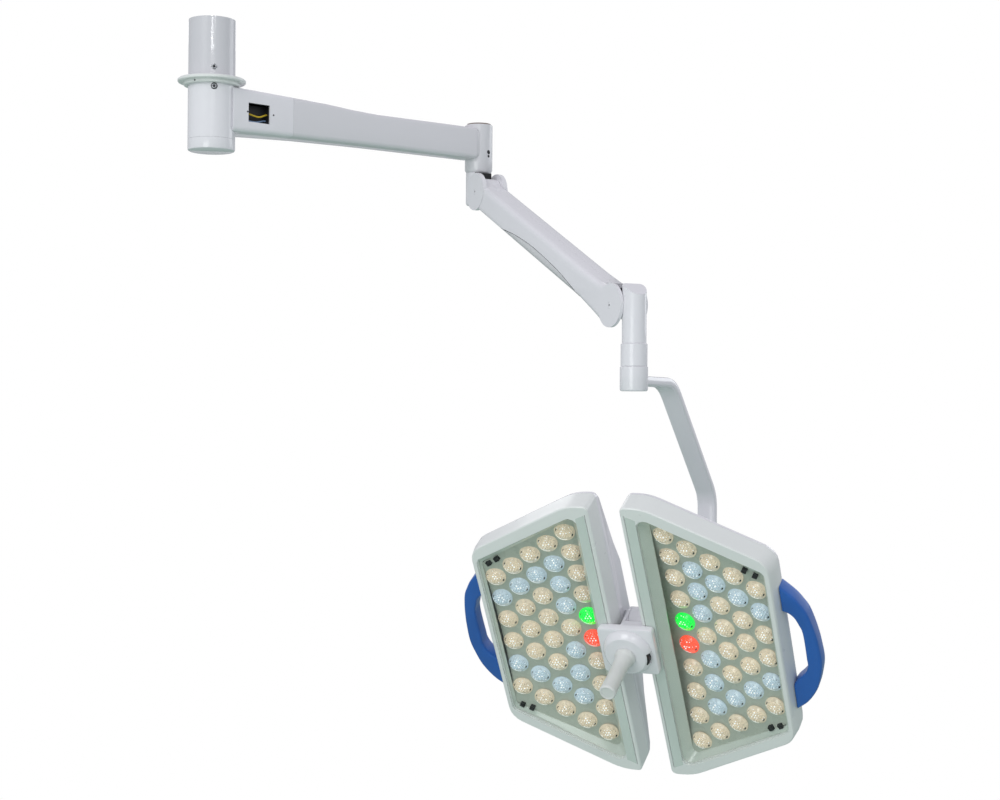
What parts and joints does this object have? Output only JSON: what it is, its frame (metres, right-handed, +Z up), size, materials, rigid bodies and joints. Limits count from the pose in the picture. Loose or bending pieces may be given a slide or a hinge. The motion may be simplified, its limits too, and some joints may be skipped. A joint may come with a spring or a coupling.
{
  "type": "surgical light",
  "caption": "Ceiling-held operating light with jointed arms, a C-shaped yoke and a twin-module LED head with side grips and a central handle.",
  "frame": {"origin": "centre of the drop tube's top end, on the mounting flange's top face", "axes": "+Z up out of the ceiling end, +X along the horizontal arm at rest; the part hangs below the origin"},
  "size_m": [0.9835, 0.975, 1.4039],
  "materials": {
    "white_paint": "gloss white powder coat",
    "white_plastic": "satin white plastic",
    "steel": "bright machined steel",
    "dark_steel": "black oxide steel",
    "bronze": "sintered bronze",
    "aluminium": "plain aluminium",
    "black_plastic": "fine-textured black plastic",
    "brown_plastic": "matte plastic",
    "blue_plastic": "satin blue plastic",
    "handle_plastic": "satin autoclavable plastic",
    "clear_pane": "clear polycarbonate",
    "lens_clear": "faceted clear lenses on a pale board",
    "yellow_jacket": "cable jacket",
    "blue_jacket": "cable jacket"
  },
  "bodies": {
    "ceiling_end": {"drop_tube": "white_paint", "mounting_flange": "steel", "ceiling_spindle": "steel", "tube_screw_1": "steel", "tube_screw_2": "steel", "trim_ring": "white_plastic", "trim_ring_screw": "dark_steel", "hub_bearing_upper": "steel", "hub_bearing_lower": "steel", "spindle_nut": "steel"},
    "horizontal_arm_group": {"hub_casting": "white_paint", "hub_brake_screw": "dark_steel", "hub_cap": "white_paint", "horizontal_arm": "white_paint", "elbow_set_screw_1": "dark_steel", "elbow_set_screw_2": "dark_steel", "elbow_cap": "brown_plastic", "elbow_bush_upper": "bronze", "elbow_bush_lower": "bronze", "cable_yellow": "yellow_jacket", "cable_blue": "blue_jacket"},
    "elbow_group": {"root_knuckle": "white_paint", "elbow_spindle": "steel", "root_pin": "steel", "link_pin_root": "steel"},
    "spring_arm_group": {"spring_arm_shell_left": "white_paint", "spring_arm_shell_right": "white_paint", "spring_arm_lower_cover": "white_paint", "spring_arm_frame": "steel", "balance_spring": "dark_steel", "spring_guide_rod": "steel", "end_pin": "steel"},
    "levelling_link": {"levelling_rod": "steel"},
    "end_group": {"end_knuckle": "white_paint", "lock_sleeve": "white_paint", "end_bush": "bronze"},
    "yoke_group": {"yoke_bar": "white_paint", "tilt_bush": "bronze", "yoke_cup": "white_paint", "yoke_spindle": "steel"},
    "lamp_head": {"spine_tube": "steel", "centre_housing": "white_paint", "handle_mount": "white_paint", "handle_core": "aluminium", "left_housing": "white_paint", "left_bezel": "white_plastic", "left_side_trim": "white_plastic", "left_pane": "clear_pane", "left_lens_plate": "lens_clear", "left_heat_sink": "aluminium", "left_grip": "blue_plastic", "right_housing": "white_paint", "right_bezel": "white_plastic", "right_side_trim": "white_plastic", "right_pane": "clear_pane", "right_lens_plate": "lens_clear", "right_heat_sink": "aluminium", "right_grip": "blue_plastic"},
    "button": {"release_button": "black_plastic"},
    "handle": {"sterile_handle": "handle_plastic"}
  },
  "joints": [
    {"name": "arm_yaw", "type": "hinge", "parent": "ceiling_end", "child": "horizontal_arm_group", "pos_m": [0, 0, -0.18], "axis": [0, 0, 1], "range_deg": [-165, 165]},
    {"name": "elbow_yaw", "type": "hinge", "parent": "horizontal_arm_group", "child": "elbow_group", "pos_m": [0.63, 0, -0.2], "axis": [0, 0, 1], "range_deg": [-40, 240]},
    {"name": "spring_arm_pitch", "type": "hinge", "parent": "elbow_group", "child": "spring_arm_group", "pos_m": [0.62305, -0.03939, -0.2768], "axis": [-0.9848, 0.1736, 0], "range_deg": [-24, 46]},
    {"name": "levelling_rod_pitch", "type": "hinge", "parent": "elbow_group", "child": "levelling_link", "pos_m": [0.62305, -0.03939, -0.2618], "axis": [-0.9848, 0.1736, 0], "range_deg": [-24, 46]},
    {"name": "end_levelling", "type": "hinge", "parent": "spring_arm_group", "child": "end_group", "pos_m": [0.52832, -0.57667, -0.54289], "axis": [-0.9848, 0.1736, 0], "range_deg": [-46, 24]},
    {"name": "yoke_yaw", "type": "hinge", "parent": "end_group", "child": "yoke_group", "pos_m": [0.52137, -0.61606, -0.67], "axis": [0, 0, 1], "continuous": true},
    {"name": "head_tilt", "type": "hinge", "parent": "yoke_group", "child": "lamp_head", "pos_m": [0.5664, -0.59212, -1.1185], "axis": [0.4695, -0.8829, 0], "range_deg": [-75, 60]},
    {"name": "release_press", "type": "slide", "parent": "lamp_head", "child": "button", "axis": [-0.4695, 0.8829, 0], "range_m": [0, 0.003], "stiffness_N_per_m": 800},
    {"name": "handle_pull_off", "type": "slide", "parent": "lamp_head", "child": "handle", "axis": [-0.7647, -0.4066, -0.5], "range_m": [0, 0.095]}
  ],
  "couplings": [
    {"joint": "levelling_rod_pitch", "follows": "spring_arm_pitch", "ratio": 1},
    {"joint": "end_levelling", "follows": "spring_arm_pitch", "ratio": -1}
  ]
}
